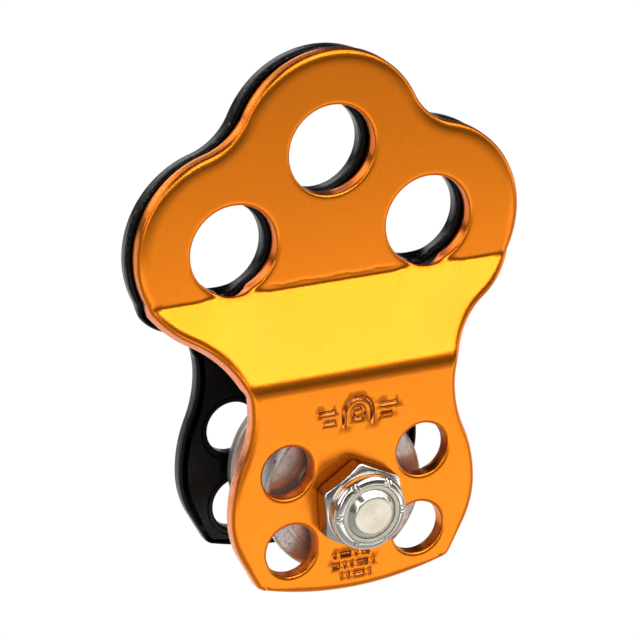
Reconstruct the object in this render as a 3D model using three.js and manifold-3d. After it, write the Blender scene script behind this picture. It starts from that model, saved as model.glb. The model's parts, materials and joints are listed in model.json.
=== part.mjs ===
// Rope pulley with two swinging side plates, a grooved sheave on a bronze bush, and one axle bolt.
// Millimetres, +Z up. X runs across the plates and Y along the axle, with the nut on the -Y side.
// The origin is the centre of the top carabiner hole, midway between the two plates.
import * as THREE from 'three';
import * as BufferGeometryUtils from 'three/addons/utils/BufferGeometryUtils.js';
import Module from 'manifold-3d';

const wasm = await Module();
wasm.setup();

// Clearances
const SEAT_GAP = 0.25; // between two pieces that rest on each other
const RUNNING_CLEARANCE = 0.2; // radial, between the bolt and whatever turns on it

// Rope and sheave
const ROPE_DIAMETER = 12.7;
const GROOVE_RADIUS = 0.54 * ROPE_DIAMETER;
const GROOVE_DEPTH = 4.95;
const FLANGE_WIDTH = 1.84; // from the groove's mouth to the sheave's side face
const RIM_ROUNDING = 0.6;
const SHEAVE_WALL = 2.89; // between the bush and the bottom of the groove
const ROPE_HEADROOM = 0.6; // between a rope in the groove and the bend in the side plates

// Axle bolt, bush and thrust washers
const BOLT_RADIUS = 4.7625;
const BOLT_END_CHAMFER = 1.36;
const BOLT_END_REACH = 7.2; // how far the bolt end stands out from the front plate
const BOLT_HEAD_HEIGHT = 5.95;
const BUSH_WALL = 1.6;
const WASHER_WIDTH = 4.04; // from its hole to its rim
const WASHER_THICKNESS = 0.9;

// Lock nut with its nylon insert
const ACROSS_FLATS = 3 * BOLT_RADIUS; // the standard hexagon for a bolt, on the nut and the head
const NUT_HEX_HEIGHT = 3.4;
const NUT_HEIGHT = 6.45;
const NUT_WALL = 0.97; // of the collar, round the insert
const NUT_NECK_DEPTH = 0.33; // the groove between the hexagon and the collar
const NUT_NECK_HEIGHT = 0.4;
const NUT_LIP_THICKNESS = 0.5;
const NUT_LIP_WIDTH = 0.56; // how far the crimped lip reaches in over the insert's pocket
const INSERT_HEIGHT = 2.4;
const INSERT_WALL = 0.6;
const NUT_TURN = THREE.MathUtils.degToRad(-4); // how the nut's corners stand after tightening
const HEX_FACE_SHARE = 0.96; // of the flats, left round on a chamfered hexagon's end
const HEX_CHAMFER_SLOPE = Math.tan(THREE.MathUtils.degToRad(30));

// Side plates: sheet, bends and holes. Heights are measured from the axle.
const PLATE_THICKNESS = 3;
const PLATE_GAP = 0.25; // between the inner faces above the bends
const LOWER_BEND_RADIUS = 2.1; // inside
const UPPER_BEND_RADIUS = 1.2; // inside
const BEND_RUN = 13.9; // height from the lower bend to the upper one
const CARABINER_HOLE_RADIUS = 7.9375;
const CARABINER_HOLE_WALL = 9.52;
const WING_HOLE_X = 18.17;
const WING_HOLE_RISE = 0.16; // from the upper bend to the lowest point of the wing holes
const HEAD_RISE = 15.2; // from the wing holes up to the top hole
const SHOULDER_RADIUS = 11; // concave corner between the top lobe and the wings
const SMALL_HOLE_RADIUS = 4.7625;
const UPPER_SMALL_HOLE_X = 12.675;
const LOWER_SMALL_HOLE_X = 11.915;
const SMALL_HOLE_Z = 7.253; // above and below the axle
const SIDE_WALL = 5.5; // from a small hole to the side edge
const BOTTOM_WALL = 4.42; // from a small hole to the bottom edge
const WAIST_DEPTH = 3.84; // how far the waist stands in from the widest lower part
const WAIST_Z = 18.5;
const BULGE_RADIUS = 25; // side edge between the waist and the axle's height
const HIP_RADIUS = 17; // side edge below the axle's height
const HIP_DROP = 8; // height over which the hip arc runs before the straight edge
const BOTTOM_RADIUS = 58;
const REST_SWING = THREE.MathUtils.degToRad(1.1); // back plate, about the axle, in the stored pose

// What follows from the sizes above
const AXLE_HOLE_RADIUS = BOLT_RADIUS + RUNNING_CLEARANCE; // plates, bush and washers
const BUSH_OUTER_RADIUS = AXLE_HOLE_RADIUS + BUSH_WALL;
const WASHER_RADIUS = AXLE_HOLE_RADIUS + WASHER_WIDTH;
const GROOVE_ROOT_RADIUS = BUSH_OUTER_RADIUS + SEAT_GAP + SHEAVE_WALL;
const SHEAVE_RADIUS = GROOVE_ROOT_RADIUS + GROOVE_DEPTH;
const GROOVE_HALF_MOUTH = Math.sqrt(GROOVE_RADIUS ** 2 - (GROOVE_RADIUS - GROOVE_DEPTH) ** 2);
const SHEAVE_WIDTH = 2 * (GROOVE_HALF_MOUTH + FLANGE_WIDTH);
const INSERT_RADIUS = BOLT_RADIUS + SEAT_GAP + INSERT_WALL;
const NUT_COLLAR_RADIUS = INSERT_RADIUS + SEAT_GAP + NUT_WALL;
const NUT_RIM_RADIUS = NUT_COLLAR_RADIUS - NUT_WALL - NUT_LIP_WIDTH;
const SIDE_GAP = WASHER_THICKNESS + 2 * SEAT_GAP; // sheave to side plate
const INNER_GAP = SHEAVE_WIDTH + 2 * SIDE_GAP; // between the plates beside the sheave
const JOGGLE = (INNER_GAP - PLATE_GAP) / 2; // how far the bends carry each plate inwards
const OUTER_FACE_Y = INNER_GAP / 2 + PLATE_THICKNESS;
const LOWER_BEND_Z = GROOVE_ROOT_RADIUS + ROPE_DIAMETER + ROPE_HEADROOM;
const UPPER_BEND_Z = LOWER_BEND_Z + BEND_RUN;
const BEND_ANGLE = Math.atan2(JOGGLE, BEND_RUN);
const STRETCH = Math.hypot(JOGGLE, BEND_RUN) - BEND_RUN; // flat blank's height over the bent plate's
const WING_HOLE_Z = UPPER_BEND_Z + WING_HOLE_RISE + CARABINER_HOLE_RADIUS;
const HEAD_HOLE_Z = WING_HOLE_Z + HEAD_RISE;
const LOBE_RADIUS = CARABINER_HOLE_RADIUS + CARABINER_HOLE_WALL;
const BULGE_X = UPPER_SMALL_HOLE_X + SMALL_HOLE_RADIUS + SIDE_WALL;
const WAIST_X = BULGE_X - WAIST_DEPTH;
const BOTTOM_Z = -(SMALL_HOLE_Z + SMALL_HOLE_RADIUS + BOTTOM_WALL);
const PLATE_TOP_Z = HEAD_HOLE_Z + LOBE_RADIUS;

const ROUND_STEPS = 48; // facets on a full circle

function solidOf(geometry) {
  geometry.deleteAttribute('normal');
  geometry.deleteAttribute('uv');
  const merged = BufferGeometryUtils.mergeVertices(geometry, 1e-4);
  return new wasm.Manifold(new wasm.Mesh({
    numProp: 3,
    vertProperties: merged.attributes.position.array,
    triVerts: new Uint32Array(merged.index.array),
  }));
}

function geometryOf(solid) {
  const mesh = solid.getMesh();
  const geometry = new THREE.BufferGeometry();
  geometry.setAttribute('position', new THREE.BufferAttribute(mesh.vertProperties, 3));
  geometry.setIndex(new THREE.BufferAttribute(mesh.triVerts, 1));
  geometry.computeVertexNormals();
  return geometry;
}

// A solid turned about the axle's direction, from [radius, y] corners. The corners run outwards
// along the low-y end and back along the high-y end.
function turned(corners, steps = ROUND_STEPS) {
  const profile = corners.map(([radius, y]) => new THREE.Vector2(radius, y));
  if (corners[0][0] > 0) profile.push(profile[0].clone());
  return solidOf(new THREE.LatheGeometry(profile, steps));
}

function rod(radius, lowY, highY, steps = ROUND_STEPS) {
  return turned([[0, lowY], [radius, lowY], [radius, highY], [0, highY]], steps);
}

// A hexagonal prism along Y whose corners are cut back by a shallow cone at one end or both.
function hexagon(lowY, highY, chamferLow, chamferHigh) {
  const cornerRadius = ACROSS_FLATS / Math.sqrt(3);
  const faceRadius = HEX_FACE_SHARE * ACROSS_FLATS / 2;
  const drop = (cornerRadius - faceRadius) * HEX_CHAMFER_SLOPE;
  const prism = new THREE.CylinderGeometry(cornerRadius, cornerRadius, highY - lowY, 6);
  prism.translate(0, (lowY + highY) / 2, 0);
  const cone = [[0, lowY]];
  if (chamferLow) cone.push([faceRadius, lowY], [cornerRadius + 0.01, lowY + drop]);
  else cone.push([cornerRadius + 0.01, lowY]);
  if (chamferHigh) cone.push([cornerRadius + 0.01, highY - drop], [faceRadius, highY]);
  else cone.push([cornerRadius + 0.01, highY]);
  cone.push([0, highY]);
  return solidOf(prism).intersect(turned(cone));
}

// Height on the flat blank turned into height on the bent plate.
function bentHeight(blankZ) {
  const slopeLength = Math.hypot(JOGGLE, BEND_RUN);
  const along = THREE.MathUtils.clamp(blankZ - LOWER_BEND_Z, 0, slopeLength);
  return blankZ - along * (1 - BEND_RUN / slopeLength);
}

// Centre of the arc of a given radius that touches two circles of one radius from outside,
// on the far side from the plate's middle.
function shoulderCentre(first, second, circleRadius, arcRadius) {
  const middle = first.clone().add(second).multiplyScalar(0.5);
  const half = first.distanceTo(second) / 2;
  const reach = Math.sqrt((circleRadius + arcRadius) ** 2 - half ** 2);
  const across = second.clone().sub(first).normalize();
  return middle.add(new THREE.Vector2(-across.y, across.x).multiplyScalar(reach));
}

function angleFrom(centre, point) {
  return Math.atan2(point.y - centre.y, point.x - centre.x);
}

// Right half of the flat blank's outline, from the top of the head down to the bottom middle.
function halfBlank() {
  const head = new THREE.Vector2(0, HEAD_HOLE_Z + STRETCH);
  const wing = new THREE.Vector2(WING_HOLE_X, WING_HOLE_Z + STRETCH);
  const shoulder = shoulderCentre(head, wing, LOBE_RADIUS, SHOULDER_RADIUS);
  const waistX = WAIST_X - WING_HOLE_X;
  const waistDrop = wing.y - WAIST_Z;
  const flankRadius = (waistX ** 2 + waistDrop ** 2 - LOBE_RADIUS ** 2) / (2 * (LOBE_RADIUS - waistX));
  const flank = new THREE.Vector2(WAIST_X + flankRadius, WAIST_Z);
  const bulge = new THREE.Vector2(BULGE_X - BULGE_RADIUS, 0);
  const waistFromBulge = WAIST_X - bulge.x;
  const lowerFlankRadius = (waistFromBulge ** 2 + WAIST_Z ** 2 - BULGE_RADIUS ** 2)
    / (2 * (BULGE_RADIUS - waistFromBulge));
  const lowerFlank = new THREE.Vector2(WAIST_X + lowerFlankRadius, WAIST_Z);
  const hip = new THREE.Vector2(BULGE_X - HIP_RADIUS, 0);
  const hipEnd = -Math.asin(HIP_DROP / HIP_RADIUS);
  const bottom = new THREE.Vector2(0, BOTTOM_Z + BOTTOM_RADIUS);

  const path = new THREE.Path();
  path.absarc(head.x, head.y, LOBE_RADIUS, Math.PI / 2, angleFrom(head, shoulder), true);
  path.absarc(shoulder.x, shoulder.y, SHOULDER_RADIUS,
    angleFrom(shoulder, head), angleFrom(shoulder, wing), false);
  path.absarc(wing.x, wing.y, LOBE_RADIUS, angleFrom(wing, shoulder), angleFrom(wing, flank), true);
  path.absarc(flank.x, flank.y, flankRadius, angleFrom(flank, wing), Math.PI, false);
  path.absarc(lowerFlank.x, lowerFlank.y, lowerFlankRadius,
    Math.PI, angleFrom(lowerFlank, bulge) + 2 * Math.PI, false);
  path.absarc(bulge.x, bulge.y, BULGE_RADIUS, angleFrom(bulge, lowerFlank), 0, true);
  path.absarc(hip.x, hip.y, HIP_RADIUS, 0, hipEnd, true);
  const cornerAngle = hipCornerAngle(hip, hipEnd, bottom);
  path.absarc(bottom.x, bottom.y, BOTTOM_RADIUS, cornerAngle, -Math.PI / 2, true);
  return path.getPoints(10);
}

// Where the straight edge below the hip meets the bottom arc, as an angle about the arc's centre.
function hipCornerAngle(hip, hipEnd, bottom) {
  const start = new THREE.Vector2(Math.cos(hipEnd), Math.sin(hipEnd)).multiplyScalar(HIP_RADIUS).add(hip);
  const along = new THREE.Vector2(Math.sin(hipEnd), -Math.cos(hipEnd));
  const fromCentre = start.clone().sub(bottom);
  const inward = fromCentre.dot(along);
  const travel = -inward + Math.sqrt(inward ** 2 - fromCentre.lengthSq() + BOTTOM_RADIUS ** 2);
  return angleFrom(bottom, start.add(along.multiplyScalar(travel)));
}

// The plate's outline seen along the axle, as a block through the full depth of its bends.
function outlineBlock(depth) {
  const half = halfBlank().map((point) => new THREE.Vector2(point.x, bentHeight(point.y)));
  const mirrored = half.slice(1, -1).reverse().map((point) => new THREE.Vector2(-point.x, point.y));
  const shape = new THREE.Shape([...half, ...mirrored]);
  const geometry = new THREE.ExtrudeGeometry(shape, { depth, bevelEnabled: false, curveSegments: 1 });
  geometry.rotateX(Math.PI / 2);
  return solidOf(geometry);
}

// The bent sheet seen from the side: y runs inwards from the outer face, z up from the axle.
function bentSheet(width) {
  const lowerOutside = LOWER_BEND_RADIUS + PLATE_THICKNESS;
  const lowerZ = LOWER_BEND_Z - lowerOutside * Math.tan(BEND_ANGLE / 2);
  const upperOutside = UPPER_BEND_RADIUS + PLATE_THICKNESS;
  const upperZ = UPPER_BEND_Z + UPPER_BEND_RADIUS * Math.tan(BEND_ANGLE / 2);
  const upperY = JOGGLE - UPPER_BEND_RADIUS;
  const shape = new THREE.Shape();
  shape.moveTo(0, 2 * BOTTOM_Z);
  shape.lineTo(0, lowerZ);
  shape.absarc(lowerOutside, lowerZ, lowerOutside, Math.PI, Math.PI - BEND_ANGLE, true);
  shape.absarc(upperY, upperZ, UPPER_BEND_RADIUS, -BEND_ANGLE, 0, false);
  shape.lineTo(JOGGLE, 2 * PLATE_TOP_Z);
  shape.lineTo(JOGGLE + PLATE_THICKNESS, 2 * PLATE_TOP_Z);
  shape.absarc(upperY, upperZ, upperOutside, 0, -BEND_ANGLE, true);
  shape.absarc(lowerOutside, lowerZ, LOWER_BEND_RADIUS, Math.PI - BEND_ANGLE, Math.PI, false);
  shape.lineTo(PLATE_THICKNESS, 2 * BOTTOM_Z);
  const geometry = new THREE.ExtrudeGeometry(shape, { depth: width, bevelEnabled: false, curveSegments: 6 });
  geometry.translate(0, 0, -width / 2);
  const turnedAcross = new THREE.Matrix4().makeBasis(
    new THREE.Vector3(0, 1, 0), new THREE.Vector3(0, 0, 1), new THREE.Vector3(1, 0, 0));
  geometry.applyMatrix4(turnedAcross);
  return solidOf(geometry);
}

function holeThrough(x, z, radius, depth) {
  return rod(radius, -depth, depth).translate([x, 0, z]);
}

// One side plate, with its outer face at y = 0 beside the axle and its bends going to +Y.
function sidePlate() {
  const depth = 2 * (JOGGLE + PLATE_THICKNESS);
  const width = 4 * (WING_HOLE_X + LOBE_RADIUS);
  let plate = bentSheet(width).intersect(outlineBlock(2 * depth).translate([0, depth, 0]));
  const holes = [
    [0, 0, AXLE_HOLE_RADIUS],
    [0, HEAD_HOLE_Z, CARABINER_HOLE_RADIUS],
  ];
  for (const side of [-1, 1]) {
    holes.push([side * WING_HOLE_X, WING_HOLE_Z, CARABINER_HOLE_RADIUS]);
    holes.push([side * UPPER_SMALL_HOLE_X, SMALL_HOLE_Z, SMALL_HOLE_RADIUS]);
    holes.push([side * LOWER_SMALL_HOLE_X, -SMALL_HOLE_Z, SMALL_HOLE_RADIUS]);
  }
  for (const [x, z, radius] of holes) {
    plate = plate.subtract(holeThrough(x, z, radius, depth));
  }
  return plate;
}

function frontPlate() {
  return sidePlate().translate([0, -OUTER_FACE_Y, 0]);
}

function backPlate() {
  return sidePlate().rotate([0, 0, 180]).translate([0, OUTER_FACE_Y, 0]);
}

// The grooved wheel: a round-bottomed rope groove between two flanges with rounded rims.
function sheave() {
  const halfWidth = SHEAVE_WIDTH / 2;
  const boreRadius = BUSH_OUTER_RADIUS + SEAT_GAP;
  const grooveCentre = GROOVE_ROOT_RADIUS + GROOVE_RADIUS;
  const halfMouth = Math.acos((grooveCentre - SHEAVE_RADIUS) / GROOVE_RADIUS);
  const steps = 12;
  const corners = [[boreRadius, -halfWidth]];
  corners.push([SHEAVE_RADIUS - RIM_ROUNDING, -halfWidth], [SHEAVE_RADIUS, -halfWidth + RIM_ROUNDING]);
  for (let step = 0; step <= steps; step += 1) {
    const angle = halfMouth * (2 * step / steps - 1);
    corners.push([grooveCentre - GROOVE_RADIUS * Math.cos(angle), GROOVE_RADIUS * Math.sin(angle)]);
  }
  corners.push([SHEAVE_RADIUS, halfWidth - RIM_ROUNDING], [SHEAVE_RADIUS - RIM_ROUNDING, halfWidth]);
  corners.push([boreRadius, halfWidth]);
  return turned(corners);
}

function bush() {
  const halfWidth = SHEAVE_WIDTH / 2;
  return turned([
    [AXLE_HOLE_RADIUS, -halfWidth], [BUSH_OUTER_RADIUS, -halfWidth],
    [BUSH_OUTER_RADIUS, halfWidth], [AXLE_HOLE_RADIUS, halfWidth],
  ]);
}

// A washer beside the sheave. side is -1 at the front and 1 at the back.
function thrustWasher(side) {
  const middle = side * (SHEAVE_WIDTH + SIDE_GAP) / 2;
  const low = middle - WASHER_THICKNESS / 2;
  const high = middle + WASHER_THICKNESS / 2;
  return turned([
    [AXLE_HOLE_RADIUS, low], [WASHER_RADIUS, low], [WASHER_RADIUS, high], [AXLE_HOLE_RADIUS, high],
  ]);
}

function axleBolt() {
  const endY = -(OUTER_FACE_Y + BOLT_END_REACH);
  const headY = OUTER_FACE_Y + SEAT_GAP;
  const shank = turned([
    [0, endY], [BOLT_RADIUS - BOLT_END_CHAMFER, endY], [BOLT_RADIUS, endY + BOLT_END_CHAMFER],
    [BOLT_RADIUS, headY + BOLT_HEAD_HEIGHT / 2], [0, headY + BOLT_HEAD_HEIGHT / 2],
  ]);
  return shank.add(hexagon(headY, headY + BOLT_HEAD_HEIGHT, false, true));
}

// The nut faces -Y: hexagon against the front plate, then the collar that holds the insert.
function lockNut() {
  const baseY = -(OUTER_FACE_Y + SEAT_GAP);
  const neckY = baseY - NUT_HEX_HEIGHT;
  const topY = -(OUTER_FACE_Y + NUT_HEIGHT);
  const crimp = NUT_COLLAR_RADIUS - NUT_RIM_RADIUS;
  const boreRadius = BOLT_RADIUS + SEAT_GAP;
  const neckRadius = NUT_COLLAR_RADIUS - NUT_NECK_DEPTH;
  const pocketRadius = NUT_COLLAR_RADIUS - NUT_WALL;
  const pocketFloor = topY + NUT_LIP_THICKNESS + INSERT_HEIGHT + 2 * SEAT_GAP;
  const collar = turned([
    [0, topY], [NUT_RIM_RADIUS + 0.2 * crimp, topY], [NUT_COLLAR_RADIUS - 0.3 * crimp, topY + 0.2 * crimp],
    [NUT_COLLAR_RADIUS, topY + 0.6 * crimp], [NUT_COLLAR_RADIUS, neckY - NUT_NECK_HEIGHT],
    [neckRadius, neckY], [neckRadius, baseY - NUT_HEX_HEIGHT / 2], [0, baseY - NUT_HEX_HEIGHT / 2],
  ]);
  const bore = turned([
    [0, topY - 1], [NUT_RIM_RADIUS, topY - 1], [NUT_RIM_RADIUS, topY + NUT_LIP_THICKNESS],
    [pocketRadius, topY + NUT_LIP_THICKNESS], [pocketRadius, pocketFloor],
    [boreRadius, pocketFloor], [boreRadius, baseY + 1], [0, baseY + 1],
  ]);
  const body = hexagon(neckY, baseY, true, false).rotate([0, THREE.MathUtils.radToDeg(NUT_TURN), 0]);
  return body.add(collar).subtract(bore);
}

function nutInsert() {
  const low = -(OUTER_FACE_Y + NUT_HEIGHT) + NUT_LIP_THICKNESS + SEAT_GAP;
  const innerRadius = BOLT_RADIUS + SEAT_GAP;
  const high = low + INSERT_HEIGHT;
  return turned([[innerRadius, low], [INSERT_RADIUS, low], [INSERT_RADIUS, high], [innerRadius, high]]);
}

const anodisedOrange = { color: 0xf28a14, roughness: 0.38, metalness: 0.85 };
const anodisedBlack = { color: 0x18181a, roughness: 0.35, metalness: 0.8 };
const tumbledAluminium = { color: 0xa79a92, roughness: 0.5, metalness: 0.9 };
const bronze = { color: 0xa9743c, roughness: 0.45, metalness: 0.9 };
const stainlessSteel = { color: 0xc9c8c2, roughness: 0.22, metalness: 1 };
const nylon = { color: 0xbfc0a8, roughness: 0.45, metalness: 0 };

function piece(name, solid, look) {
  const mesh = new THREE.Mesh(geometryOf(solid), new THREE.MeshStandardMaterial(look));
  mesh.name = name;
  return mesh;
}

const axleGroup = new THREE.Group();
axleGroup.add(
  piece('axle_bolt', axleBolt(), stainlessSteel),
  piece('lock_nut', lockNut(), stainlessSteel),
  piece('nut_insert', nutInsert(), nylon),
  piece('front_thrust_washer', thrustWasher(-1), stainlessSteel),
  piece('back_thrust_washer', thrustWasher(1), stainlessSteel),
);

const sheaveGroup = new THREE.Group();
sheaveGroup.add(
  piece('sheave', sheave(), tumbledAluminium),
  piece('sheave_bush', bush(), bronze),
);

const backGroup = new THREE.Group();
backGroup.add(piece('back_plate', backPlate(), anodisedBlack));
backGroup.rotation.y = -REST_SWING;

const pulley = new THREE.Group();
pulley.add(piece('front_plate', frontPlate(), anodisedOrange), backGroup, axleGroup, sheaveGroup);
pulley.position.z = -HEAD_HOLE_Z;

export default pulley;
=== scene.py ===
"""Looks of a small swing-cheek rope pulley: two bent side plates, a grooved sheave and one axle bolt.

Lengths in the geometry functions are millimetres, and MM turns them into Blender's metres.
"""
import json
import math

import bmesh
import bpy
import numpy as np
from bpy.props import FloatProperty, FloatVectorProperty, PointerProperty
from mathutils import Matrix, Vector
from mathutils.geometry import delaunay_2d_cdt


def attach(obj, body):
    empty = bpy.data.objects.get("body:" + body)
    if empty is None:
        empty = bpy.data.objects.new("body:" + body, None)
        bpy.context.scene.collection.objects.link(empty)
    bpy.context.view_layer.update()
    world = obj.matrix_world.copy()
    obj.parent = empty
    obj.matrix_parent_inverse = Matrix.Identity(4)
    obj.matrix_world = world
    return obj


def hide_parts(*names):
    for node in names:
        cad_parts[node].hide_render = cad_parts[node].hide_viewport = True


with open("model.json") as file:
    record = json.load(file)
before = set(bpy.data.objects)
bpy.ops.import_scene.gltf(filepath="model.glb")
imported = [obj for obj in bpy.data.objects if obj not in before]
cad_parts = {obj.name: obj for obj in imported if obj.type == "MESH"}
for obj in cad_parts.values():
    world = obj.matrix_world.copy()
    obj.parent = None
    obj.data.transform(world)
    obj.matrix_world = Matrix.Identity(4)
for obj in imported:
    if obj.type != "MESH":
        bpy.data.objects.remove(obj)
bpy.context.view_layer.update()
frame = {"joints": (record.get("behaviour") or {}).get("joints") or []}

bl_info = {
    "name": "Swing-cheek rope pulley",
    "version": (1, 0, 0),
    "blender": (4, 5, 0),
    "location": "View3D > Sidebar > Pulley",
    "description": "Builds the visible pieces of a small rope pulley around its packed frame",
    "category": "Object",
}

MM = 0.001
AXLE = Vector(frame["joints"][0]["pos_m"])
HEAD_HOLE_HEIGHT = -AXLE.z / MM  # the row's origin is the top hole, so this is its height over the axle

# Fasteners and sheave
BOLT_RADIUS = 4.7625
BOLT_END_RADIUS = 3.4025
BOLT_END_REACH = 7.2
BOLT_HEAD_HEIGHT = 5.95
ACROSS_FLATS = 14.2875
NUT_HEX_HEIGHT = 3.4
NUT_HEIGHT = 6.45
NUT_COLLAR_RADIUS = 6.83
NUT_NECK_RADIUS = 6.5
NUT_RIM_RADIUS = 5.3
CORNER_TURN = math.radians(34)  # first corner of the nut, from +X towards +Z
CHAMFER_SLOPE = math.tan(math.radians(30))
CHAMFER_FACE_RADIUS = 0.96 * ACROSS_FLATS / 2  # of the round face left on a hexagon's end
CORNER_CUT = 0.186
SHEAVE_RADIUS = 14.6525
SHEAVE_WIDTH = 16.8545
GROOVE_ROOT_RADIUS = 9.7025
GROOVE_RADIUS = 6.858
BUSH_INNER_RADIUS = 4.9625
BUSH_OUTER_RADIUS = 6.5625
WASHER_RADIUS = 9.0025
WASHER_THICKNESS = 0.9
SEAT_GAP = 0.25

# Side plates, with heights measured from the axle
PLATE_THICKNESS = 3.0
PLATE_GAP = 0.25
LOWER_BEND_RADIUS = 2.1  # inside
UPPER_BEND_RADIUS = 1.2  # inside
LOWER_BEND_HEIGHT = 23.0025
BEND_RUN = 13.9
CARABINER_HOLE_RADIUS = 7.9375
LOBE_RADIUS = 17.4575
WING_HOLE_X = 18.17
WING_HOLE_HEIGHT = 45.0
SHOULDER_RADIUS = 11.0
SMALL_HOLE_RADIUS = 4.7625
UPPER_SMALL_HOLE_X = 12.675
LOWER_SMALL_HOLE_X = 11.915
SMALL_HOLE_HEIGHT = 7.253
AXLE_HOLE_RADIUS = 4.9625
WAIST_X = 19.0975
WAIST_HEIGHT = 18.5
BULGE_X = 22.9375
BULGE_RADIUS = 25.0
HIP_RADIUS = 17.0
HIP_DROP = 8.0
BOTTOM_HEIGHT = -16.4355
BOTTOM_RADIUS = 58.0
CORNER_RADIUS = 1.8
MARK_DEPTH = 0.35
DRAW_UP = 0.45  # height by which the upper bend is pulled up under a wing hole
DRAW_UP_REACH = 6.9  # to either side of the wing hole's centre
REST_SWING = math.radians(1.1)

SIDE_GAP = WASHER_THICKNESS + 2 * SEAT_GAP
INNER_GAP = SHEAVE_WIDTH + 2 * SIDE_GAP
JOGGLE = (INNER_GAP - PLATE_GAP) / 2
OUTER_FACE_Y = INNER_GAP / 2 + PLATE_THICKNESS
BEND_ANGLE = math.atan2(JOGGLE, BEND_RUN)
SLOPE_LENGTH = math.hypot(JOGGLE, BEND_RUN)
STRETCH = SLOPE_LENGTH - BEND_RUN  # how much taller the flat blank is than the bent plate


# --- Small helpers -----------------------------------------------------------------------------

def linear(red, green, blue):
    """An sRGB colour, 0 to 255, as the linear values that shaders use."""
    def one(value):
        value /= 255
        return value / 12.92 if value <= 0.04045 else ((value + 0.055) / 1.055) ** 2.4
    return (one(red), one(green), one(blue), 1.0)


def arc(centre, radius, start, end, step=0.5):
    """Points on an arc from one angle to another, both ends included."""
    count = max(2, math.ceil(abs(end - start) * radius / step))
    angles = [start + (end - start) * i / count for i in range(count + 1)]
    return [centre + radius * Vector((math.cos(a), math.sin(a))) for a in angles]


def joined(*runs):
    """Runs of points end to end, with the doubled points between them left out."""
    points = []
    for run in runs:
        for point in run:
            if not points or (point - points[-1]).length > 1e-4:
                points.append(point)
    return points


def rounded_corner(before, corner, after, radius):
    """An arc that rounds the corner between two points, in place of the corner."""
    back = (before - corner).normalized()
    ahead = (after - corner).normalized()
    half = back.angle(ahead) / 2
    centre = corner + (back + ahead).normalized() * radius / math.sin(half)
    start = corner + back * radius / math.tan(half) - centre
    end = corner + ahead * radius / math.tan(half) - centre
    first = math.atan2(start.y, start.x)
    sweep = math.atan2(start.x * end.y - start.y * end.x, start.dot(end))
    return arc(centre, radius, first, first + sweep, 0.2)


def circle(x, y, radius, count):
    """Points round a circle, anticlockwise."""
    turn = 2 * math.pi / count
    return [Vector((x + radius * math.cos(i * turn), y + radius * math.sin(i * turn))) for i in range(count)]


def inside(points, loop):
    """For each row of points, true if it lies inside a closed loop."""
    found = np.zeros(len(points), bool)
    for a, b in zip(loop, loop[1:] + loop[:1]):
        if a.y == b.y:
            continue
        across = (points[:, 1] > a.y) != (points[:, 1] > b.y)
        crossing = (b.x - a.x) * (points[:, 1] - a.y) / (b.y - a.y) + a.x
        found ^= across & (points[:, 0] < crossing)
    return found


def loop_normals(loop):
    """Unit vectors pointing out of an anticlockwise loop, one at each point."""
    normals = []
    for i, point in enumerate(loop):
        along = (loop[(i + 1) % len(loop)] - point).normalized() + (point - loop[i - 1]).normalized()
        along.normalize()
        normals.append(Vector((along.y, -along.x)))
    return normals


def shown(name, mesh, merge_distance=None):
    """A smooth object for a mesh, its doubles merged if a distance is given, and facing outwards."""
    work = bmesh.new()
    work.from_mesh(mesh)
    if merge_distance:
        bmesh.ops.remove_doubles(work, verts=work.verts, dist=merge_distance)
    bmesh.ops.recalc_face_normals(work, faces=work.faces)
    work.to_mesh(mesh)
    work.free()
    mesh.shade_smooth()
    made = bpy.data.objects.new(name, mesh)
    bpy.context.scene.collection.objects.link(made)
    return made


def mesh_object(name, vertices, faces, walls, material):
    """A piece from millimetre vertices; walls holds each one's value of the wall attribute."""
    mesh = bpy.data.meshes.new(name)
    mesh.from_pydata([Vector(v) * MM for v in vertices], [], faces)
    mesh.attributes.new("wall", "FLOAT", "POINT").data.foreach_set("value", walls)
    made = shown(name, mesh, 1e-6)
    mesh.materials.append(material)
    return made


def bands(rings, closed):
    """Faces between neighbouring rings of equal length, and from last to first if closed."""
    count = len(rings[0])
    faces = []
    for k in range(len(rings) if closed else len(rings) - 1):
        low = k * count
        high = (k + 1) % len(rings) * count
        for i in range(count):
            j = (i + 1) % count
            faces.append((low + i, low + j, high + j, high + i))
    return faces


def finish_piece(piece, body, node):
    """Hands a finished piece to the frame: its body and the node it stands for."""
    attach(piece, body)
    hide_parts(node)


def node_tools(tree):
    """Short ways to add a node, with its settings and its inputs filled or linked, and a maths node."""
    def node(kind, feeds=None, **settings):
        made = tree.nodes.new(kind)
        for key, value in settings.items():
            setattr(made, key, value)
        for key, value in (feeds or {}).items():
            if isinstance(value, bpy.types.NodeSocket):
                tree.links.new(value, made.inputs[key])
            elif value is not None:
                made.inputs[key].default_value = value
        return made

    def maths(operation, *values):
        return node("ShaderNodeMath", dict(enumerate(values)), operation=operation).outputs[0]

    return node, maths


# --- Side plates -------------------------------------------------------------------------------

def touching_centre(first, second, radius, fillet):
    """Centre of a concave arc that touches two circles of one radius on their right-hand side."""
    half = (second - first).length / 2
    across = (second - first).normalized()
    rise = math.sqrt((radius + fillet) ** 2 - half ** 2)
    return (first + second) / 2 + Vector((-across.y, across.x)) * rise


def heading(centre, point):
    return math.atan2(point.y - centre.y, point.x - centre.x)


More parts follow.
